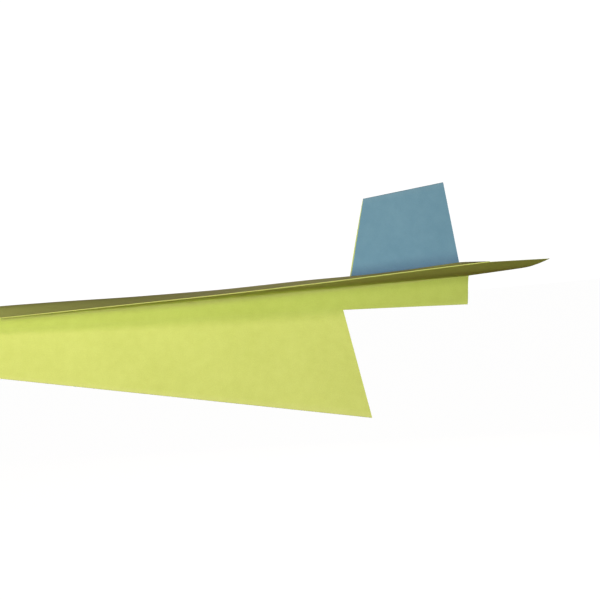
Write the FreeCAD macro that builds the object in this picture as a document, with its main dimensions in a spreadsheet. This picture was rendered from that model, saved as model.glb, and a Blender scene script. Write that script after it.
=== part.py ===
import FreeCAD, Part
import Sketcher
import math
import os

# A dart paper airplane folded from one letter sheet, with a popped-up tail fin.
#
# Each node is one panel of the sheet between two creases, or one rounded fold. A panel is drawn
# where it lies on the folded half sheet: x runs back from the nose along the bottom fold, y runs
# across the sheet. Every crease is then a ray from the nose at some angle, so a panel lies between
# two rays, and folding it is a turn about one of them.
#
# In the finished part the nose points to -X, +Z is up and Y = 0 is the plane of symmetry, so the
# airplane's left side is at -Y. The origin is the finger grip on the keel.

SIZES = {
    "half_width": 107.95,  # half of the sheet's 215.9 mm
    "sheet_length": 279.4,
    "paper_thickness": 0.1,
    "layer_gap": 0.02,  # air between two layers pressed together
    "spine_gap": 0.1,  # air between the two innermost layers at the bottom fold
    "crease_gap": 0.1,  # from a panel's edge to the crease that it turns about
    "hinge_clearance": 0.05,
    "corner_angle": 45.0,  # first fold: the top edge comes to the centre
    "lead_angle": 22.5,  # second fold: the leading edge
    "wing_angle": 11.25,  # last fold: the wing root
    "fin_angle": 9.27,  # crease that the tail fin turns up about
    "fin_root_length": 45.7,  # along that crease, from the trailing edge to the slit
    "fin_tip_length": 30.3,  # along the bottom fold, from the trailing edge to the slit
    "nose_blunt": 5.0,  # the panels stop this far from the nose point
    "spread_angle": 3.0,  # between the keel's two sides, as the airplane is held
    "spread_travel": 27.0,  # how much further they open
    "dihedral": 1.5,
    "grip_distance": 140.0,  # from the nose, along the bottom fold
    "grip_height": 13.0,
}

LAYERS = 4  # in the thickest stack: panel, corner layer, turned layer, folded-over side

ROOT_RAY = "Sizes.wing_angle"
LEAD_RAY = "Sizes.lead_angle"
FIN_RAY = "Sizes.fin_angle"
FIN_TOP_RAY = "2 * Sizes.fin_angle"
BOTTOM_RAY = "0"
FLAP_RAY = "max(0; 2 * Sizes.lead_angle - Sizes.corner_angle)"

PITCH = "(Sizes.paper_thickness + Sizes.layer_gap)"
STACK = f"({LAYERS - 1} * {PITCH} + Sizes.paper_thickness)"
KEEL_HALF = f"(Sizes.spine_gap / 2 + {STACK})"
FIN_HALF = f"({KEEL_HALF} - {PITCH})"
LEAD_RADIUS = f"({STACK} / 2)"

doc = FreeCAD.newDocument("paper_airplane")


def make_sizes():
    sheet = doc.addObject("Spreadsheet::Sheet", "Sizes")
    for row, (name, size) in enumerate(SIZES.items(), start=1):
        sheet.set(f"A{row}", name)
        sheet.set(f"B{row}", str(size))
        sheet.setAlias(f"B{row}", name)
    doc.recompute()
    return sheet


sizes = make_sizes()


def value(expression):
    """The number that an expression of the sheet's cells gives now."""
    found = sizes.evalExpression(expression)
    return float(getattr(found, "Value", found))


# Where the far edge of each layer crosses a ray: the distance from the nose.


def at_trailing_edge(ray):
    return f"Sizes.sheet_length / cos({ray})"


def at_corner_edge(ray):
    return f"Sizes.half_width / cos({ray})"


def at_turned_edge(ray):
    return f"Sizes.half_width / cos(2 * Sizes.lead_angle - {ray})"


def at_side_edge(ray):
    return f"Sizes.half_width / sin(2 * Sizes.lead_angle - {ray})"


def on_ray(ray, distance, inset="0"):
    """The point at that distance from the nose, moved to the ray's left by inset."""
    along_x = f"({distance}) * cos({ray}) - ({inset}) * sin({ray})"
    along_y = f"({distance}) * sin({ray}) + ({inset}) * cos({ray})"
    return along_x, along_y


def between_rays(low, high, far, low_inset, high_inset):
    """The corners of a panel from the blunt nose to its far edge, between two rays."""
    return [
        on_ray(low, "Sizes.nose_blunt", low_inset),
        on_ray(low, far(low), low_inset),
        on_ray(high, far(high), f"-({high_inset})"),
        on_ray(high, "Sizes.nose_blunt", f"-({high_inset})"),
    ]


# Placements. side is 1 for the left half of the airplane and -1 for the right.

NOSE_TO_TAIL = FreeCAD.Vector(1, 0, 0)
SHEET_NORMAL = FreeCAD.Vector(0, 0, 1)
SIDES = {"left": 1, "right": -1}


def ray_direction(angle):
    return FreeCAD.Vector(math.cos(math.radians(angle)), math.sin(math.radians(angle)), 0)


def turn(axis, angle, through=FreeCAD.Vector(0, 0, 0)):
    return FreeCAD.Placement(FreeCAD.Vector(0, 0, 0), FreeCAD.Rotation(axis, angle), through)


def upright():
    """Stands the sheet's plane up with the wing roots level, and puts the grip at the origin."""
    stand = FreeCAD.Rotation(FreeCAD.Vector(1, 0, 0), 90)
    level = FreeCAD.Rotation(FreeCAD.Vector(0, 1, 0), value(ROOT_RAY))
    rotation = level.multiply(stand)
    grip = FreeCAD.Vector(value("Sizes.grip_distance"), value("Sizes.grip_height"), 0)
    return FreeCAD.Placement(rotation.multVec(grip).negative(), rotation)


def spread(side):
    """Leans one side of the keel out about the bottom fold."""
    return turn(NOSE_TO_TAIL, side * value("Sizes.spread_angle") / 2)


def keel_place(side):
    return upright().multiply(spread(side))


def wing_place(side):
    """Folds a wing out about its root until it stands at the dihedral angle."""
    fold = 90 - value("Sizes.spread_angle") / 2 - value("Sizes.dihedral")
    root = FreeCAD.Vector(0, 0, side * value(KEEL_HALF))
    return keel_place(side).multiply(turn(ray_direction(value(ROOT_RAY)), side * fold, root))


def fin_turn(side):
    """Leans one side of the fin in about its crease, so that its top meets the other side's."""
    half_spread = math.radians(value("Sizes.spread_angle") / 2)
    crease = math.radians(value(FIN_RAY))
    lean = 2 * math.degrees(math.atan(math.cos(crease) * math.tan(half_spread)))
    hinge = FreeCAD.Vector(0, 0, side * value(FIN_HALF))
    return turn(ray_direction(value(FIN_RAY)), -side * lean, hinge)


def fin_place(side):
    return keel_place(side).multiply(fin_turn(side))


def origin_plane(body, role):
    return next(feature for feature in body.Origin.OriginFeatures if feature.Role == role)


def make_panel(label, corners, outer_face, side, layer, placement):
    """One flat panel. outer_face is the stack's outer face, and layer counts inwards from it."""
    body = doc.addObject("PartDesign::Body", label)
    body.Label = label
    sketch = body.newObject("Sketcher::SketchObject", f"{label}_outline")
    sketch.AttachmentSupport = [(origin_plane(body, "XY_Plane"), "")]
    sketch.MapMode = "FlatFace"
    sketch.setExpression("AttachmentOffset.Base.z", f"{side} * ({outer_face} - {layer} * {PITCH})")
    points = [FreeCAD.Vector(value(x), value(y), 0) for x, y in corners]
    for index, point in enumerate(points):
        following = points[(index + 1) % len(points)]
        sketch.addGeometry(Part.LineSegment(point, following))
    for index in range(len(points)):
        following = (index + 1) % len(points)
        sketch.addConstraint(Sketcher.Constraint("Coincident", index, 2, following, 1))
    for index, corner in enumerate(corners):
        for kind, expression in zip(("DistanceX", "DistanceY"), corner):
            constraint = Sketcher.Constraint(kind, -1, 1, index, 1, value(expression))
            number = sketch.addConstraint(constraint)
            sketch.setExpression(f"Constraints[{number}]", expression)
    pad = body.newObject("PartDesign::Pad", f"{label}_sheet")
    pad.Profile = sketch
    pad.Reversed = side > 0
    pad.setExpression("Length", "Sizes.paper_thickness")
    sketch.Visibility = False
    body.Placement = placement
    return body


def make_fold(label, radius, length, placement):
    """A half-round fold: the sheet bent through 180 degrees about the local Z axis, round +Y."""
    outside = doc.addObject("Part::Cylinder", f"{label}_outside")
    inside = doc.addObject("Part::Cylinder", f"{label}_inside")
    outside.setExpression("Radius", radius)
    inside.setExpression("Radius", f"{radius} - Sizes.paper_thickness")
    for cylinder in (outside, inside):
        cylinder.Angle = 180
        cylinder.setExpression("Height", length)
    fold = doc.addObject("Part::Cut", label)
    fold.Label = label
    fold.Base = outside
    fold.Tool = inside
    fold.Placement = placement
    return fold


def fold_place(start, direction, bulge):
    """Puts a fold's start there, its length along direction and its round side towards bulge."""
    rotation = FreeCAD.Rotation(bulge.cross(direction), bulge, direction, "ZYX")
    return FreeCAD.Placement(start, rotation)


def fold_inset(side, radius):
    """The right half meets a fold's edge, and the left one stays clear of it as the keel opens."""
    if side < 0:
        return "0"
    open_angle = "Sizes.spread_angle + Sizes.spread_travel"
    return f"({radius} * tan({open_angle}) + Sizes.hinge_clearance)"


def make_keel_side(name, side):
    """The L-shaped panel beside the fingers, and the three layers that are folded inside it."""
    place = keel_place(side)
    inset = fold_inset(side, KEEL_HALF)
    gap = "Sizes.crease_gap"
    tail = at_trailing_edge
    outline = [
        on_ray(BOTTOM_RAY, "Sizes.nose_blunt", inset),
        on_ray(BOTTOM_RAY, f"{tail(BOTTOM_RAY)} - Sizes.fin_tip_length", inset),
        on_ray(FIN_RAY, f"{tail(FIN_RAY)} - Sizes.fin_root_length", gap),
        on_ray(FIN_RAY, tail(FIN_RAY), gap),
        on_ray(ROOT_RAY, tail(ROOT_RAY), f"-{gap}"),
        on_ray(ROOT_RAY, "Sizes.nose_blunt", f"-{gap}"),
    ]
    make_panel(f"keel_panel_{name}", outline, KEEL_HALF, side, 0, place)
    edges = {
        "keel_corner_layer": (BOTTOM_RAY, at_corner_edge),
        "keel_turned_layer": (FLAP_RAY, at_turned_edge),
        "keel_inner_flap": (FLAP_RAY, at_side_edge),
    }
    for layer, (label, (low, far)) in enumerate(edges.items(), start=1):
        corners = between_rays(low, ROOT_RAY, far, inset, gap)
        make_panel(f"{label}_{name}", corners, KEEL_HALF, side, layer, place)


def make_wing(name, side):
    """The wing panel, the two corner layers on it, the folded-over side and the leading edge."""
    place = wing_place(side)
    gap = "Sizes.crease_gap"
    outline = [
        on_ray(ROOT_RAY, "Sizes.nose_blunt", gap),
        on_ray(ROOT_RAY, at_trailing_edge(ROOT_RAY), gap),
        ("Sizes.sheet_length", "Sizes.half_width"),
        on_ray(LEAD_RAY, at_side_edge(LEAD_RAY), f"-{LEAD_RADIUS}"),
        on_ray(LEAD_RAY, "Sizes.nose_blunt", f"-{LEAD_RADIUS}"),
    ]
    make_panel(f"wing_panel_{name}", outline, KEEL_HALF, side, 0, place)
    edges = {
        "wing_corner_layer": at_corner_edge,
        "wing_turned_layer": at_turned_edge,
        "wing_top_flap": at_side_edge,
    }
    for layer, (label, far) in enumerate(edges.items(), start=1):
        corners = between_rays(ROOT_RAY, LEAD_RAY, far, gap, LEAD_RADIUS)
        make_panel(f"{label}_{name}", corners, KEEL_HALF, side, layer, place)
    make_leading_edge(name, side, place)


def make_leading_edge(name, side, place):
    """Joins the wing panel to the flap folded over on top of it."""
    along = ray_direction(value(LEAD_RAY))
    outwards = SHEET_NORMAL.cross(along)
    middle = side * (value(KEEL_HALF) - value(LEAD_RADIUS))
    start = along * value("Sizes.nose_blunt") - outwards * value(LEAD_RADIUS)
    start.z = middle
    length = f"{at_side_edge(LEAD_RAY)} - Sizes.nose_blunt"
    local = fold_place(start, along, outwards)
    make_fold(f"leading_edge_fold_{name}", LEAD_RADIUS, length, place.multiply(local))


def make_keel_fold():
    """The bottom fold, from the nose back to the slit. It goes with the right side."""
    start = FreeCAD.Vector(value("Sizes.nose_blunt"), 0, 0)
    local = fold_place(start, NOSE_TO_TAIL, FreeCAD.Vector(0, -1, 0))
    length = f"{at_trailing_edge(BOTTOM_RAY)} - Sizes.fin_tip_length - Sizes.nose_blunt"
    make_fold("keel_fold", KEEL_HALF, length, keel_place(SIDES["right"]).multiply(local))


def make_fin_side(name, side):
    """Half of the tail fin: the back of the keel, cut free by the slit and turned up inside."""
    gap = "Sizes.crease_gap"
    inset = f"-({fold_inset(side, FIN_HALF)})"
    tip_front = f"{at_trailing_edge(BOTTOM_RAY)} - Sizes.fin_tip_length"
    outline = [
        on_ray(FIN_RAY, f"{at_trailing_edge(FIN_RAY)} - Sizes.fin_root_length", gap),
        on_ray(FIN_RAY, at_trailing_edge(FIN_RAY), gap),
        on_ray(FIN_TOP_RAY, at_trailing_edge(BOTTOM_RAY), inset),
        on_ray(FIN_TOP_RAY, tip_front, inset),
    ]
    make_panel(f"tail_fin_{name}", outline, FIN_HALF, side, 0, fin_place(side))


def make_fin_fold():
    """The fin's top edge, which was the back of the bottom fold before the fin was turned up."""
    along = ray_direction(value(FIN_TOP_RAY))
    front = value(f"{at_trailing_edge(BOTTOM_RAY)} - Sizes.fin_tip_length")
    local = fold_place(along * front, along, SHEET_NORMAL.cross(along))
    place = fin_place(SIDES["right"]).multiply(local)
    make_fold("fin_fold", FIN_HALF, "Sizes.fin_tip_length", place)


def sub_parts():
    """The bodies and folds, without the cylinders that the folds are cut from."""
    return [thing for thing in doc.Objects if thing.TypeId in ("PartDesign::Body", "Part::Cut")]


def check_document():
    for thing in doc.Objects:
        if "Invalid" in thing.State or "Error" in thing.State:
            raise RuntimeError(f"{thing.Label} failed: {thing.State}")
    for thing in sub_parts():
        if thing.Shape.isNull() or not thing.Shape.isValid() or len(thing.Shape.Solids) != 1:
            raise RuntimeError(f"{thing.Label} is not one valid solid")


def write_parts():
    os.makedirs("parts", exist_ok=True)
    for thing in sub_parts():
        thing.Shape.exportStep(os.path.join("parts", f"{thing.Label}.step"))


make_keel_fold()
make_fin_fold()
for side_name, side_sign in SIDES.items():
    make_keel_side(side_name, side_sign)
    make_wing(side_name, side_sign)
    make_fin_side(side_name, side_sign)
doc.recompute()
check_document()
write_parts()
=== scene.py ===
import math

import bpy
import numpy as np
from mathutils import Matrix, Vector


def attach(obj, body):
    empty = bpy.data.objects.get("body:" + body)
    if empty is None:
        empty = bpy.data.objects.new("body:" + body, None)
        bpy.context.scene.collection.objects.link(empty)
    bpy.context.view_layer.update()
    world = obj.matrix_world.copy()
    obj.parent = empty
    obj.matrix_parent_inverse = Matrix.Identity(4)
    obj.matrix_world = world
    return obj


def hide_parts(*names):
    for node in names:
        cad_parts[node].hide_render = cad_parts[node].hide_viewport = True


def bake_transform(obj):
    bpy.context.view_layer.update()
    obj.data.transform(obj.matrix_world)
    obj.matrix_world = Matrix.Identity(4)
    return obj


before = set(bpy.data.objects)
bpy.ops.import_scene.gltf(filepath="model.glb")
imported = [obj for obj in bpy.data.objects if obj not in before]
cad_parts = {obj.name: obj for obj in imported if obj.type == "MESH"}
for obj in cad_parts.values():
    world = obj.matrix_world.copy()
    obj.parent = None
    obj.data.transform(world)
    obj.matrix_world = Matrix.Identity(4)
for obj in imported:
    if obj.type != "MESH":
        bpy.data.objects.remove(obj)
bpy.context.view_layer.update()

# Sizes of the folded sheet, in millimetres and degrees. A crease is a ray from the nose point.
HALF_WIDTH = 107.95
LENGTH = 279.4
ROOT = math.radians(11.25)
LEAD = math.radians(22.5)
FIN = math.radians(9.27)
FIN_TOP = 2 * FIN
LEAN = math.radians(1.5)
FOLD = math.radians(87.0)
FIN_LEAN = 2 * math.atan(math.cos(FIN) * math.tan(LEAN))
PAPER = 0.1
PITCH = 0.12
KEEL_HALF = 0.51
FIN_HALF = 0.39
LEAD_RADIUS = 0.23
SLIT_BOTTOM = LENGTH - 30.3
SLIT_TOP = LENGTH / math.cos(FIN) - 45.7
NOSE = 2.0
TIP = math.atan2(HALF_WIDTH, LENGTH)
FLAP_START = 194.3
FLAP_SLOPE = 0.668
CROWN = 0.68
SPINE_GAP = 0.36
MM = 0.001

# The two corner layers, by their order in the stack: how much of the flap's rise each one shares,
# how far behind the outer sheet they start, and how far apart they lie on the unfolded sheet.
LAYER_LIFT = (0.0, 0.12, 0.3)
LAYER_SETBACK = 0.4
LAYER_UV_STEP = 40

# How worn the paper is: on the folds that carry the shape, along the cut creases, and elsewhere.
FOLD_WEAR = 0.6
CREASE_WEAR = 0.5
LIGHT_WEAR = 0.15

# The nose point: the CAD puts the finger grip, 140 mm back and 13 mm up the keel, at the origin.
GRIP = (140.0, 13.0)
NOSE_X = -(GRIP[0] * math.cos(ROOT) + GRIP[1] * math.sin(ROOT))
NOSE_Z = GRIP[0] * math.sin(ROOT) - GRIP[1] * math.cos(ROOT)

SIDES = {"left": 1.0, "right": -1.0}


# ---------------------------------------------------------------- places on the folded sheet


def to_world(x, y, z):
    """From the folded half sheet (x along the bottom fold, y up it, z outwards to the left)."""
    return np.stack(
        [
            NOSE_X + x * math.cos(ROOT) + y * math.sin(ROOT),
            -z + 0 * x,
            NOSE_Z - x * math.sin(ROOT) + y * math.cos(ROOT),
        ],
        -1,
    )


def lean_out(x, y, z, side):
    """Half the keel's spread: each side leans out about the bottom fold."""
    c, s = math.cos(side * LEAN), math.sin(side * LEAN)
    return x, y * c - z * s, y * s + z * c


def root_frame(side):
    """The wing root of one side: its start, and directions along it, up the keel and outwards."""
    def direction(x, y, z):
        return to_world(*lean_out(x, y, z, side)) - to_world(0, 0, 0)

    start = to_world(*lean_out(0.0, 0.0, side * KEEL_HALF, side))
    along = direction(math.cos(ROOT), math.sin(ROOT), 0.0)
    up = direction(-math.sin(ROOT), math.cos(ROOT), 0.0)
    out = direction(0.0, 0.0, side)
    return start, along, up, out


def table(x, xs, ys):
    """A smooth curve through the points, by monotone cubic pieces."""
    xs, ys = np.array(xs, float), np.array(ys, float)
    step = np.diff(xs)
    slope = np.diff(ys) / step
    tangent = np.zeros_like(ys)
    tangent[1:-1] = np.where(
        slope[:-1] * slope[1:] > 0, 2 * slope[:-1] * slope[1:] / (slope[:-1] + slope[1:] + 1e-12), 0
    )
    tangent[0], tangent[-1] = slope[0], slope[-1]
    x = np.clip(x, xs[0], xs[-1])
    k = np.clip(np.searchsorted(xs, x) - 1, 0, len(xs) - 2)
    t = (x - xs[k]) / step[k]
    h = step[k]
    return (
        ys[k] * (2 * t**3 - 3 * t**2 + 1)
        + ys[k + 1] * (3 * t**2 - 2 * t**3)
        + h * tangent[k] * (t**3 - 2 * t**2 + t)
        + h * tangent[k + 1] * (t**3 - t**2)
    )


def crease_radius(u):
    """How round the wing root's fold is: softest half-way back, sharp at both ends."""
    return table(
        u,
        [0, 30, 90, 148, 185, 222, 248, 272, 290],
        [0.05, 0.5, 0.9, 1.5, 2.2, 1.7, 1.3, 0.5, 0.3],
    )


def puff_height(u):
    """How far the folded-over side springs up off the wing."""
    return table(
        u,
        [0, 20, 55, 90, 113, 133, 167, 203, 222, 238, 258, 270, 277],
        [0.0, 0.9, 2.7, 3.7, 4.0, 3.7, 2.75, 2.3, 2.35, 2.1, 1.5, 1.1, 0.3],
    )


def lead_radius(r):
    """Half the leading edge's thickness: more layers in front, fewer behind the folded corner."""
    return table(r, [0, 100, 138, 300], [0.19, 0.19, 0.15, 0.14])


def wing_curl(u, v):
    """How far the wing stands off its flat plane: it droops in front and its edge turns up."""
    height = table(v, [0, 20, 38, 45, 51.4, 56], [0, 0.2, 0.44, 1.1, 2.1, 2.75])
    droop = table(u, [0, 60, 115, 172, 206, 300], [0, 0.3, 0.53, 0.18, 0, 0])
    reach = np.maximum(u * math.tan(LEAD - ROOT), 1.0)
    return height - droop * v / reach - math.sin(LEAN) * v


def section(u, w, depth, side, lift=0.0):
    """A point of the stack: u along the root, w up the keel (negative) or out along the wing."""
    start, along, up, out = root_frame(side)
    radius = crease_radius(u)
    setback = radius * math.tan(FOLD / 2)
    turn = np.clip((w + setback) / (2 * setback), 0, 1) * FOLD
    arc_up = -setback + (radius + depth) * np.sin(turn)
    arc_out = radius - (radius + depth) * np.cos(turn)
    wing_up = w * math.cos(FOLD) + depth * math.sin(FOLD)
    wing_out = w * math.sin(FOLD) - depth * math.cos(FOLD)
    on_keel = w <= -setback
    on_wing = w >= setback
    p_up = np.where(on_keel, w, np.where(on_wing, wing_up, arc_up))
    p_out = np.where(on_keel, -depth, np.where(on_wing, wing_out, arc_out))
    p_up = p_up + lift + wing_curl(u, np.maximum(w, 0))
    return start + u[..., None] * along + p_up[..., None] * up + p_out[..., None] * out


# ---------------------------------------------------------------- far edges, from the nose point


def far_main(angle):
    """The trailing edge and the wing's side edge. The folds leave them a little askew."""
    skew = 1 + table(np.degrees(angle), [0, 9, 11.25, 15, 21.1, 23], [0, 0, -0.003, 0.0, 0.004, 0.004])
    trailing = LENGTH / np.cos(angle)
    side_edge = HALF_WIDTH / np.sin(np.maximum(angle, 0.1))
    return np.where(angle < TIP, trailing, side_edge) * skew


def fin_crease_angle(r):
    """The fin crease, which runs a little low towards the tail."""
    return FIN - 0.0019 * np.clip((r - SLIT_TOP) / 45.7, 0, 1)


def far_flap(angle):
    """The side edge once it is folded over: the top flap's free edge."""
    return HALF_WIDTH / np.sin(2 * LEAD - angle)


def far_corner(angle):
    """The sheet's front edge, folded back at 45 degrees with the corner."""
    return HALF_WIDTH / np.cos(angle)


def far_turned(angle):
    """The same edge where the second fold turns it over again."""
    return HALF_WIDTH / np.cos(2 * LEAD - angle)


def far_slit(angle):
    """The slit's front edge, straight from the bottom fold to the fin crease."""
    bottom = np.array([SLIT_BOTTOM, 0.0])
    top = SLIT_TOP * np.array([math.cos(FIN), math.sin(FIN)])
    d = top - bottom
    return (bottom[0] * d[1] - bottom[1] * d[0]) / (np.cos(angle) * d[1] - np.sin(angle) * d[0])


# ---------------------------------------------------------------- meshes


def build_sheet(name, columns, uv, wear, side, materials, hole=None):
    """A piece of paper from the columns of its middle surface: two faces and a cut edge."""
    grid, uv, wear = (np.stack(part, 1) for part in (columns, uv, wear))
    rows, cols = grid.shape[:2]
    normal = np.cross(np.gradient(grid, axis=0), np.gradient(grid, axis=1))
    normal /= np.maximum(np.linalg.norm(normal, axis=-1, keepdims=True), 1e-12)
    normal *= side
    quads = np.ones((rows - 1, cols - 1), bool)
    if hole is not None:
        quads &= ~hole
    front = grid + normal * PAPER / 2
    back = grid - normal * PAPER / 2
    points = np.concatenate([front.reshape(-1, 3), back.reshape(-1, 3)]) * MM
    index = np.arange(rows * cols).reshape(rows, cols)
    half = rows * cols
    faces, slots = [], []
    for i in range(rows - 1):
        for j in range(cols - 1):
            if not quads[i, j]:
                continue
            a, b, c, d = (int(index[i + p, j + q]) for p, q in ((0, 0), (1, 0), (1, 1), (0, 1)))
            loop = (a, b, c, d) if side > 0 else (d, c, b, a)
            faces.append(loop)
            slots.append(0)
            faces.append(tuple(k + half for k in reversed(loop)))
            slots.append(1)
            for di, dj, p, q in ((0, -1, a, b), (1, 0, b, c), (0, 1, c, d), (-1, 0, d, a)):
                ni, nj = i + di, j + dj
                if 0 <= ni < rows - 1 and 0 <= nj < cols - 1 and quads[ni, nj]:
                    continue
                edge = (q, p, p + half, q + half) if side > 0 else (p, q, q + half, p + half)
                faces.append(edge)
                slots.append(2)
    used = np.unique(np.array([k for f in faces for k in f]))
    remap = -np.ones(2 * half, int)
    remap[used] = np.arange(len(used))
    mesh = bpy.data.meshes.new(name)
    mesh.from_pydata(points[used].tolist(), [], [tuple(int(remap[k]) for k in f) for f in faces])
    for material in materials:
        mesh.materials.append(material)
    mesh.polygons.foreach_set("material_index", slots)
    mesh.polygons.foreach_set("use_smooth", [True] * len(slots))
    layer = mesh.uv_layers.new(name="sheet")
    flat_uv = np.concatenate([uv.reshape(-1, 2), uv.reshape(-1, 2)])[used] * MM
    corners = np.zeros(len(mesh.loops), int)
    mesh.loops.foreach_get("vertex_index", corners)
    layer.data.foreach_set("uv", flat_uv[corners].ravel())
    attribute = mesh.attributes.new("wear", "FLOAT", "POINT")
    both = np.concatenate([wear.ravel(), wear.ravel()])[used]
    attribute.data.foreach_set("value", both.astype(np.float32))
    mesh.validate()
    mesh.set_sharp_from_angle(angle=math.radians(50))
    piece = bpy.data.objects.new(name, mesh)
    bpy.context.scene.collection.objects.link(piece)
    return piece


def unfolded(r, angle):
    """A point's place on the flat sheet, which the paper's texture follows."""
    return np.stack([r * np.cos(angle), r * np.sin(angle)], -1)


# Rows of each mesh from the nose to the slit, and from there to the far edge.
N_FRONT = 110
N_BACK = 26
FRONT = np.linspace(0, 1, N_FRONT + 1)
BACK = np.linspace(0, 1, N_BACK + 1)[1:]
SETTLE_STEPS = 6


def settle(goal, angle_of):
    """The distance from the nose at which a column, whose angle depends on it, meets its goal."""
    r = goal(ROOT)
    for _ in range(SETTLE_STEPS):
        r = goal(angle_of(r))
    return r


def rows_main(angle_of, far):
    """Distances from the nose for one column whose angle may depend on the distance."""
    first = settle(lambda a: SLIT_TOP * math.cos(FIN) / np.cos(a), angle_of)
    last = settle(far, angle_of)
    return np.concatenate([NOSE + (first - NOSE) * FRONT, first + (last - first) * BACK])


def stack_place(r, angle):
    """Where a point of the unfolded sheet lies along the root and up from it."""
    return r * np.cos(angle - ROOT), r * np.sin(angle - ROOT)


def crease_half(r):
    """Half the width of paper that bends at the root."""
    return np.minimum(2.4 * crease_radius(r), 0.45 * r * math.sin(LEAD - ROOT))


def crease_angle(r, t):
    """Across the root's bend: t is -1 on the keel side of it and 1 on the wing side."""
    return ROOT + np.arcsin(np.clip(t * crease_half(r) / r, -1, 1))


def crease_wear(t):
    return math.exp(-((3 * t) ** 2))


def lead_angle_at(r):
    """Where the flat wing ends and the leading edge's bend begins."""
    return LEAD - np.arcsin(np.minimum(lead_radius(r) / r, 0.5))


def spine_angle(r):
    """The inner layers' low edge, just clear of the bottom fold."""
    return SPINE_GAP / r


def between(low, high, t):
    """The column a share t of the way from one line of the sheet to another."""
    return lambda r: low(r) + t * (high(r) - low(r))


def root_at(t):
    return lambda r: crease_angle(r, t)


def make_outer_sheet(name, side, materials):
    """The panel of the keel, the wing, the rounded leading edge and the side folded back over it."""
    lead_rows = rows_main(lambda r: LEAD + 0 * r, far_main)
    shares = (lead_rows - NOSE) / (lead_rows[-1] - NOSE)
    columns, uv, wear = [], [], []

    def add(points, sheet, worn):
        columns.append(points)
        uv.append(sheet)
        wear.append(worn + 0 * sheet[:, 0])

    def main_column(angle_of, worn):
        r = rows_main(angle_of, far_main)
        angle = angle_of(r)
        add(section(*stack_place(r, angle), PAPER / 2, side), unfolded(r, angle), worn)

    # Keel below the fin crease, which stops at the slit.
    for t in np.linspace(0, 1, 15)[:-1]:
        angle = t * FIN
        r_slit = float(far_slit(angle))
        r = np.concatenate([NOSE + (r_slit - NOSE) * FRONT, np.full(N_BACK, r_slit)])
        worn = FOLD_WEAR if t == 0 else 0.0
        add(section(*stack_place(r, angle), PAPER / 2, side), unfolded(r, angle + 0 * r), worn)
    cut_out = len(columns)
    # From the fin crease to the root, round it, and out to the wing's rear tip.
    main_column(fin_crease_angle, LIGHT_WEAR)
    for t in np.linspace(0, 1, 6)[1:]:
        main_column(between(fin_crease_angle, root_at(-1.0), t), 0.0)
    for t in np.linspace(-1, 1, 15)[1:]:
        main_column(root_at(t), crease_wear(t))
    for t in np.linspace(0, 1, 20)[1:]:
        main_column(between(root_at(1.0), lambda r: TIP, t), 0.0)
    for t in np.linspace(0, 1, 4)[1:]:
        main_column(between(lambda r: TIP, lead_angle_at, t), 0.0)
    # Round the leading edge.
    r = lead_rows
    for turn in np.linspace(0, math.pi, 13)[1:]:
        middle = lead_radius(r) - PAPER / 2
        reach = -lead_radius(r) + middle * math.sin(turn)
        u = r * math.cos(LEAD - ROOT) - reach * math.sin(LEAD - ROOT)
        w = r * math.sin(LEAD - ROOT) + reach * math.cos(LEAD - ROOT)
        points = section(u, w, lead_radius(r) - middle * math.cos(turn), side)
        flat = unfolded(r, LEAD + 0 * r)
        flat = flat + (turn * middle)[:, None] * np.array([-math.sin(LEAD), math.cos(LEAD)])
        add(points, flat, LIGHT_WEAR)
    # Back over the wing to the root, and down inside the keel.
    def flap_depth(r, t):
        return 2 * (lead_radius(r) + t * (LEAD_RADIUS - lead_radius(r))) - PAPER / 2

    def flap_column(angle_of, worn, t=1.0):
        r = NOSE + (settle(far_flap, angle_of) - NOSE) * shares
        angle = angle_of(r)
        u, w = stack_place(r, angle)
        points = section(u, w, flap_depth(r, t), side, lift=flap_lift(u, w))
        add(points, unfolded(r, 2 * LEAD - angle), worn)

    for t in np.linspace(0, 1, 30)[1:]:
        flap_column(between(lead_angle_at, root_at(1.0), t), 0.0, t)
    for t in np.linspace(1, -1, 15)[1:]:
        flap_column(root_at(t), crease_wear(t))
    for t in np.linspace(0, 1, 7)[1:]:
        flap_column(between(root_at(-1.0), spine_angle, t), 0.0)

    hole = np.zeros((N_FRONT + N_BACK, len(columns) - 1), bool)
    hole[N_FRONT:, :cut_out] = True
    return build_sheet(name, columns, uv, wear, side, materials, hole)


def flap_lift(u, w):
    """The folded-over side's rise: from the leading edge up to a crown, and down to the root."""
    lead = u * math.tan(LEAD - ROOT)
    q = np.maximum(lead - w, 0)
    free_edge = np.maximum(u - FLAP_START, 0) * FLAP_SLOPE
    span = np.maximum(lead - free_edge, 0.8)
    crown = CROWN * span
    end = np.maximum(lead - 0.5 * crease_half(u), crown + 0.01)
    rise = np.sin(math.pi / 2 * np.clip(q / crown, 0, 1) ** 1.15)
    fall = np.cos(math.pi / 2 * np.clip((q - crown) / (end - crown), 0, 1))
    return puff_height(u) * np.where(q < crown, rise, fall)


def make_inner_layer(name, side, order, far, materials):
    """One of the two corner layers that lie between the keel or wing and the side folded over it."""
    depth = order * PITCH + PAPER / 2
    share = LAYER_LIFT[order]
    nose = NOSE + LAYER_SETBACK
    columns, uv, wear = [], [], []

    def column(angle_of, worn):
        r = nose + (settle(far, angle_of) - nose) * np.linspace(0, 1, 61)
        angle = angle_of(r)
        u, w = stack_place(r, angle)
        columns.append(section(u, w, depth, side, lift=share * flap_lift(u, w)))
        uv.append(unfolded(r, angle) + LAYER_UV_STEP * order)
        wear.append(worn + 0 * r)

    for t in np.linspace(0, 1, 9):
        column(between(spine_angle, root_at(-1.0), t), 0.0)
    for t in np.linspace(-1, 1, 13)[1:]:
        column(root_at(t), crease_wear(t))
    for t in np.linspace(0, 1, 15)[1:]:
        column(between(root_at(1.0), lead_angle_at, t), 0.0)
    return build_sheet(name, columns, uv, wear, side, materials)


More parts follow.
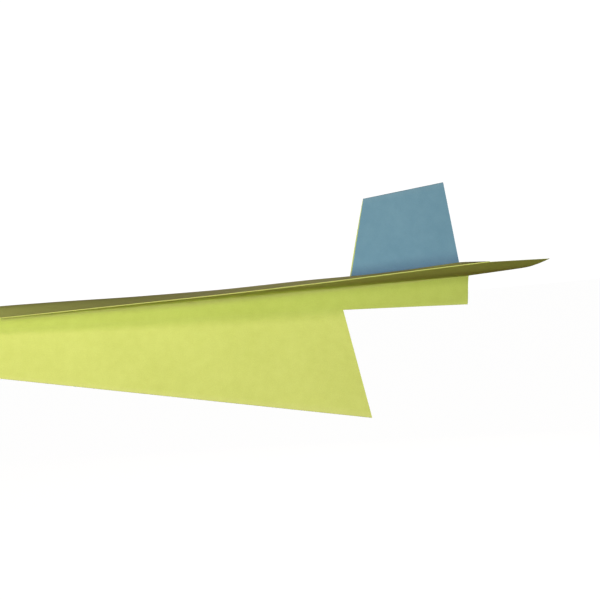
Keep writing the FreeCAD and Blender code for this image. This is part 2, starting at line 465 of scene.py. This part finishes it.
def make_bottom_fold(name, materials):
    """The sheet's bend along the keel's bottom, from the nose to the slit."""
    turns = np.linspace(-(math.pi / 2 - LEAN), math.pi / 2 - LEAN, 17)
    x = NOSE + (SLIT_BOTTOM - NOSE) * FRONT
    radius = KEEL_HALF - PAPER / 2
    columns, uv, wear = [], [], []
    for turn in turns:
        drop, out = 0.5 * radius * math.cos(turn), radius * math.sin(turn)
        columns.append(to_world(x, -drop + 0 * x, out + 0 * x))
        uv.append(np.stack([x, radius * turn + 0 * x], -1))
        wear.append(FOLD_WEAR + 0 * x)
    return build_sheet(name, columns, uv, wear, 1.0, materials)


def fin_point(x, y, z, side):
    """From the fin's half sheet to its place, leaned in about the fin crease."""
    axis = np.array([math.cos(FIN), math.sin(FIN), 0.0])
    centre = np.array([0.0, 0.0, side * FIN_HALF])
    p = np.stack([x, y, z], -1) - centre
    a = -side * FIN_LEAN
    c, s = math.cos(a), math.sin(a)
    leaned = centre + p * c + np.cross(axis, p) * s + axis * (p @ axis)[..., None] * (1 - c)
    return to_world(*lean_out(leaned[..., 0], leaned[..., 1], leaned[..., 2], side))


def fin_outline(t, s):
    """The fin on the folded sheet: t from the crease to the top edge, s from front to back."""
    front_low = SLIT_TOP * np.array([math.cos(FIN), math.sin(FIN)])
    front_top = SLIT_BOTTOM * np.array([math.cos(FIN_TOP), math.sin(FIN_TOP)])
    back_low = LENGTH / math.cos(FIN) * np.array([math.cos(FIN), math.sin(FIN)])
    back_top = LENGTH * np.array([math.cos(FIN_TOP), math.sin(FIN_TOP)])
    rise = min(1.0, t / 0.2)
    lean = max(0.0, (t - 0.2) / 0.8)
    front = front_low + t * (front_top - front_low) + np.array([rise + 0.25 * lean, 0.0])
    back = back_low + t * (back_top - back_low) + np.array([1.2 * lean, -0.5 * lean])
    return front + s[:, None] * (back - front)


FIN_ROWS = np.linspace(0, 1, 25)


def fin_bow(t, s, side):
    """The fin's faces stand a little away from each other in the middle."""
    rise = max(0.0, (t - 0.3) / 0.7)
    return side * 0.15 * math.sin(math.pi * rise) * np.sin(np.pi * np.clip(s, 0, 1))


def make_fin_half(name, side, materials):
    """Half of the fin. The far half's front edge stands a little ahead of the near one's."""
    s = FIN_ROWS
    columns, uv, wear = [], [], []
    ahead = 0.3 if side < 0 else 0.0
    for t in np.linspace(0, 1, 21):
        p = fin_outline(t, s)
        x = p[:, 0] - ahead * (1 - s) * (0.35 + 0.65 * math.sin(math.pi * t))
        z = side * (FIN_HALF - PAPER / 2) + fin_bow(t, s, side)
        columns.append(fin_point(x, p[:, 1], z, side))
        uv.append(np.stack([p[:, 0], -p[:, 1]], -1))
        wear.append((CREASE_WEAR if t in (0.0, 1.0) else 0.0) + 0 * s)
    return build_sheet(name, columns, uv, wear, side, materials)


def make_fin_top(name, materials):
    """The fin's top edge: the rear of the bottom fold, bent the other way round."""
    s = FIN_ROWS
    p = fin_outline(1.0, s)
    left, right = (
        fin_point(p[:, 0], p[:, 1], 0 * s + side * (FIN_HALF - PAPER / 2), side) for side in (1.0, -1.0)
    )
    middle = (left + right) / 2
    half = (left - right) / 2
    radius = np.linalg.norm(half, axis=-1, keepdims=True)
    along = middle[-1] - middle[0]
    along /= np.linalg.norm(along)
    rise = np.cross(along, half / radius)
    rise *= np.sign(rise[..., 2:3])
    columns, uv, wear = [], [], []
    for turn in np.linspace(-math.pi / 2, math.pi / 2, 13):
        columns.append(middle + half * math.sin(turn) + rise * radius * math.cos(turn))
        uv.append(np.stack([p[:, 0], turn * FIN_HALF + 0 * s], -1))
        wear.append(FOLD_WEAR + 0 * s)
    return build_sheet(name, columns, uv, wear, -1.0, materials)


def make_fin_crease(name, side, materials):
    """The tight bend under the keel's rear strip, where the sheet turns up inside into the fin."""
    r = SLIT_TOP + (LENGTH / math.cos(FIN) - SLIT_TOP) * FIN_ROWS
    angle = fin_crease_angle(r)
    radius = (KEEL_HALF - FIN_HALF) / 2
    middle = (KEEL_HALF + FIN_HALF - PAPER) / 2
    columns, uv, wear = [], [], []
    for turn in np.linspace(0, math.pi, 9):
        z = side * (middle + radius * math.cos(turn))
        drop = -radius * math.sin(turn)
        x = r * np.cos(angle) - drop * np.sin(angle)
        y = r * np.sin(angle) + drop * np.cos(angle)
        columns.append(to_world(*lean_out(x, y, z + 0 * x, side)))
        uv.append(np.stack([r, radius * turn + 0 * r], -1))
        wear.append(CREASE_WEAR + 0 * r)
    return build_sheet(name, columns, uv, wear, -side, materials)


# ---------------------------------------------------------------- paper


def node(tree, kind, x, y, **values):
    """A shader node, with its sockets or settings given by name."""
    made = tree.nodes.new(kind)
    made.location = (x, y)
    for key, value in values.items():
        if key in made.inputs:
            made.inputs[key].default_value = value
        else:
            setattr(made, key, value)
    return made


def paper_material(name, light, dark, worn, roughness=0.82):
    """Uncoated dyed paper: cloudy fibre formation, a fine tooth, and paler worn folds."""
    material = bpy.data.materials.new(name)
    material.use_nodes = True
    tree = material.node_tree
    tree.nodes.clear()
    link = tree.links.new
    output = node(tree, "ShaderNodeOutputMaterial", 900, 0)
    shader = node(tree, "ShaderNodeBsdfPrincipled", 620, 0)
    shader.inputs["Roughness"].default_value = roughness
    shader.inputs["Specular IOR Level"].default_value = 0.1
    place = node(tree, "ShaderNodeUVMap", -1100, 0, uv_map="sheet")
    cloud = node(tree, "ShaderNodeTexNoise", -850, 200, Scale=260.0, Detail=5.0, Roughness=0.62)
    broad = node(tree, "ShaderNodeTexNoise", -850, 0, Scale=38.0, Detail=2.0, Roughness=0.5)
    fibre = node(tree, "ShaderNodeTexNoise", -850, -220, Scale=2600.0, Detail=3.0, Roughness=0.7)
    for texture in (cloud, broad, fibre):
        link(place.outputs["UV"], texture.inputs["Vector"])
    mixed = node(tree, "ShaderNodeMath", -620, 120, operation="MULTIPLY_ADD")
    mixed.inputs[1].default_value = 0.6
    link(cloud.outputs["Fac"], mixed.inputs[0])
    scaled = node(tree, "ShaderNodeMath", -620, -40, operation="MULTIPLY")
    scaled.inputs[1].default_value = 0.4
    link(broad.outputs["Fac"], scaled.inputs[0])
    link(scaled.outputs[0], mixed.inputs[2])
    ramp = node(tree, "ShaderNodeMapRange", -420, 100)
    ramp.inputs["From Min"].default_value = 0.3
    ramp.inputs["From Max"].default_value = 0.7
    link(mixed.outputs[0], ramp.inputs["Value"])
    colour = node(tree, "ShaderNodeMix", -200, 120, data_type="RGBA")
    colour.inputs["A"].default_value = (*dark, 1)
    colour.inputs["B"].default_value = (*light, 1)
    link(ramp.outputs["Result"], colour.inputs["Factor"])
    grain = node(tree, "ShaderNodeMapRange", -420, -200)
    grain.inputs["From Min"].default_value = 0.25
    grain.inputs["From Max"].default_value = 0.75
    grain.inputs["To Min"].default_value = 0.93
    grain.inputs["To Max"].default_value = 1.05
    link(fibre.outputs["Fac"], grain.inputs["Value"])
    toned = node(tree, "ShaderNodeMix", 40, 60, data_type="RGBA", blend_type="MULTIPLY")
    toned.inputs["Factor"].default_value = 1.0
    link(colour.outputs["Result"], toned.inputs["A"])
    link(grain.outputs["Result"], toned.inputs["B"])
    wear = node(tree, "ShaderNodeAttribute", -420, 350, attribute_name="wear")
    amount = node(tree, "ShaderNodeMath", -200, 350, operation="MULTIPLY")
    amount.inputs[1].default_value = 0.28
    link(wear.outputs["Fac"], amount.inputs[0])
    faded = node(tree, "ShaderNodeMix", 280, 60, data_type="RGBA")
    faded.inputs["B"].default_value = (*worn, 1)
    link(amount.outputs[0], faded.inputs["Factor"])
    link(toned.outputs["Result"], faded.inputs["A"])
    link(faded.outputs["Result"], shader.inputs["Base Color"])
    tooth = node(tree, "ShaderNodeBump", 280, -260)
    tooth.inputs["Strength"].default_value = 0.35
    tooth.inputs["Distance"].default_value = 0.00005
    link(fibre.outputs["Fac"], tooth.inputs["Height"])
    pulp = node(tree, "ShaderNodeBump", 40, -320)
    pulp.inputs["Strength"].default_value = 0.3
    pulp.inputs["Distance"].default_value = 0.0001
    link(cloud.outputs["Fac"], pulp.inputs["Height"])
    link(pulp.outputs["Normal"], tooth.inputs["Normal"])
    link(tooth.outputs["Normal"], shader.inputs["Normal"])
    link(shader.outputs[0], output.inputs[0])
    return material


green = paper_material(
    "green_paper_face", light=(0.70, 0.815, 0.255), dark=(0.63, 0.74, 0.21), worn=(0.86, 0.88, 0.50)
)
blue = paper_material(
    "blue_paper_face", light=(0.213, 0.425, 0.615), dark=(0.172, 0.365, 0.55), worn=(0.35, 0.54, 0.67)
)
edge = paper_material(
    "cut_edge", light=(0.62, 0.68, 0.42), dark=(0.50, 0.56, 0.32), worn=(0.75, 0.78, 0.6), roughness=0.9
)

# Materials of a sheet's outer face, its inner face and its cut edges.
GREEN_OUT = (green, blue, edge)
BLUE_OUT = (blue, green, edge)

for side_name, side in SIDES.items():
    keel, wing, fin = f"keel_{side_name}", f"wing_{side_name}", f"fin_{side_name}"
    start, along, up, out = (Vector(v * k) for v, k in zip(root_frame(side), (MM, 1, 1, 1)))
    sheet = make_outer_sheet(f"outer_sheet_{side_name}", side, GREEN_OUT)
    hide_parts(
        f"keel_panel_{side_name}",
        f"wing_panel_{side_name}",
        f"leading_edge_fold_{side_name}",
        f"wing_top_flap_{side_name}",
        f"keel_inner_flap_{side_name}",
    )
    corner = make_inner_layer(f"corner_layer_{side_name}", side, 1, far_corner, BLUE_OUT)
    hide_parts(f"keel_corner_layer_{side_name}", f"wing_corner_layer_{side_name}")
    turned = make_inner_layer(f"turned_layer_{side_name}", side, 2, far_turned, GREEN_OUT)
    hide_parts(f"keel_turned_layer_{side_name}", f"wing_turned_layer_{side_name}")
    for piece in (sheet, corner, turned):
        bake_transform(piece)
    half = make_fin_half(f"fin_half_{side_name}", side, BLUE_OUT)
    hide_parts(f"tail_fin_{side_name}")
    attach(half, fin)
    bend = make_fin_crease(f"fin_crease_{side_name}", side, GREEN_OUT)
    if side_name == "right":
        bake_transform(bend)
    else:
        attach(bend, keel)

bottom = make_bottom_fold("bottom_fold", GREEN_OUT)
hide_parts("keel_fold")
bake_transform(bottom)
fin_top = make_fin_top("fin_top_fold", BLUE_OUT)
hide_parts("fin_fold")
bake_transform(fin_top)

# ---------------------------------------------------------------- floor, backdrop, light, camera

FLOOR_Z = -0.30
FLOOR_SIZE = 80.0
FLOOR_TILES = 24


def make_floor():
    """A wide pale floor: dim for the light it sends back up, near white as the camera sees it."""
    places = [FLOOR_SIZE * (i / FLOOR_TILES - 0.5) for i in range(FLOOR_TILES + 1)]
    points = [(x, y, FLOOR_Z) for x in places for y in places]
    row = FLOOR_TILES + 1
    corners = [i * row + j for i in range(FLOOR_TILES) for j in range(FLOOR_TILES)]
    faces = [(a, a + row, a + row + 1, a + 1) for a in corners]
    mesh = bpy.data.meshes.new("floor")
    mesh.from_pydata(points, [], faces)
    material = bpy.data.materials.new("pale_floor")
    material.use_nodes = True
    tree = material.node_tree
    tree.nodes.clear()
    link = tree.links.new
    output = node(tree, "ShaderNodeOutputMaterial", 700, 0)
    add = node(tree, "ShaderNodeAddShader", 500, 0)
    matt = node(tree, "ShaderNodeBsdfDiffuse", 250, 100)
    glow = node(tree, "ShaderNodeEmission", 250, -100)
    path = node(tree, "ShaderNodeLightPath", -100, -150)
    lift = node(tree, "ShaderNodeMath", 60, -150, operation="MULTIPLY")
    lift.inputs[1].default_value = 0.985
    cloud = node(tree, "ShaderNodeTexNoise", -250, 100, Scale=3.0, Detail=3.0)
    tone = node(tree, "ShaderNodeMix", 0, 100, data_type="RGBA")
    tone.inputs["A"].default_value = (0.17, 0.13, 0.08, 1)
    tone.inputs["B"].default_value = (0.20, 0.15, 0.09, 1)
    link(cloud.outputs["Fac"], tone.inputs["Factor"])
    link(tone.outputs["Result"], matt.inputs["Color"])
    link(path.outputs["Is Camera Ray"], lift.inputs[0])
    link(lift.outputs[0], glow.inputs["Strength"])
    link(matt.outputs[0], add.inputs[0])
    link(glow.outputs[0], add.inputs[1])
    link(add.outputs[0], output.inputs[0])
    mesh.materials.append(material)
    floor = bpy.data.objects.new("floor", mesh)
    bpy.context.scene.collection.objects.link(floor)
    return floor


make_floor()

world = bpy.data.worlds.new("studio")
bpy.context.scene.world = world
world.use_nodes = True
tree = world.node_tree
tree.nodes.clear()
surroundings = node(tree, "ShaderNodeOutputWorld", 600, 0)
seen = node(tree, "ShaderNodeBackground", 100, 100, Color=(1.0, 1.0, 1.0, 1), Strength=1.05)
around = node(tree, "ShaderNodeBackground", 100, -100, Color=(1.0, 0.60, 0.28, 1), Strength=0.02)
choose = node(tree, "ShaderNodeMixShader", 350, 0)
path = node(tree, "ShaderNodeLightPath", -150, 200)
tree.links.new(path.outputs["Is Camera Ray"], choose.inputs[0])
tree.links.new(around.outputs[0], choose.inputs[1])
tree.links.new(seen.outputs[0], choose.inputs[2])
tree.links.new(choose.outputs[0], surroundings.inputs[0])


def softbox(name, place, target, size, power, colour):
    """A rectangular lamp at a place, facing a target. Places and size in metres, power in watts."""
    light = bpy.data.lights.new(name, "AREA")
    light.shape = "RECTANGLE"
    light.size, light.size_y = size
    light.energy = power
    light.color = colour
    lamp = bpy.data.objects.new(name, light)
    bpy.context.scene.collection.objects.link(lamp)
    lamp.location = place
    aim = Vector(target) - Vector(place)
    lamp.rotation_euler = aim.to_track_quat("-Z", "Y").to_euler()


KEY_SIZE = (0.32, 0.17)
softbox("key_front", (-0.42, -0.70, -0.004), (-0.03, 0, 0.004), KEY_SIZE, 4.6, (1.0, 0.75, 0.60))
softbox("key_rear", (-0.12, -0.75, -0.004), (0.0, 0, 0.004), KEY_SIZE, 1.7, (0.55, 1.0, 0.55))
softbox("lamp", (-0.20, -1.1, 0.28), (0.05, 0, 0), (0.09, 0.09), 3.0, (1.0, 0.70, 1.0))
softbox("back", (0.25, 1.1, 0.30), (0.03, 0, 0), (0.8, 0.3), 5.0, (1.0, 0.84, 0.66))
softbox("far_side", (-0.05, 0.80, -0.02), (0, 0, 0), KEY_SIZE, 3.0, (1.0, 0.90, 0.68))

CAMERA_PLACE = (0.082, -0.2656, 0.0113)
CAMERA_ROLL = math.radians(5.24)
camera_data = bpy.data.cameras.new("camera")
camera_data.lens = 43.3
camera_data.sensor_width = 36.0
camera_data.clip_start = 0.01
camera = bpy.data.objects.new("camera", camera_data)
bpy.context.scene.collection.objects.link(camera)
right = Vector((math.cos(CAMERA_ROLL), 0, -math.sin(CAMERA_ROLL)))
upward = Vector((math.sin(CAMERA_ROLL), 0, math.cos(CAMERA_ROLL)))
facing = Matrix((right, upward, right.cross(upward))).transposed().to_4x4()
camera.matrix_world = Matrix.Translation(CAMERA_PLACE) @ facing
bpy.context.scene.camera = camera
bpy.context.scene.view_settings.view_transform = "Standard"
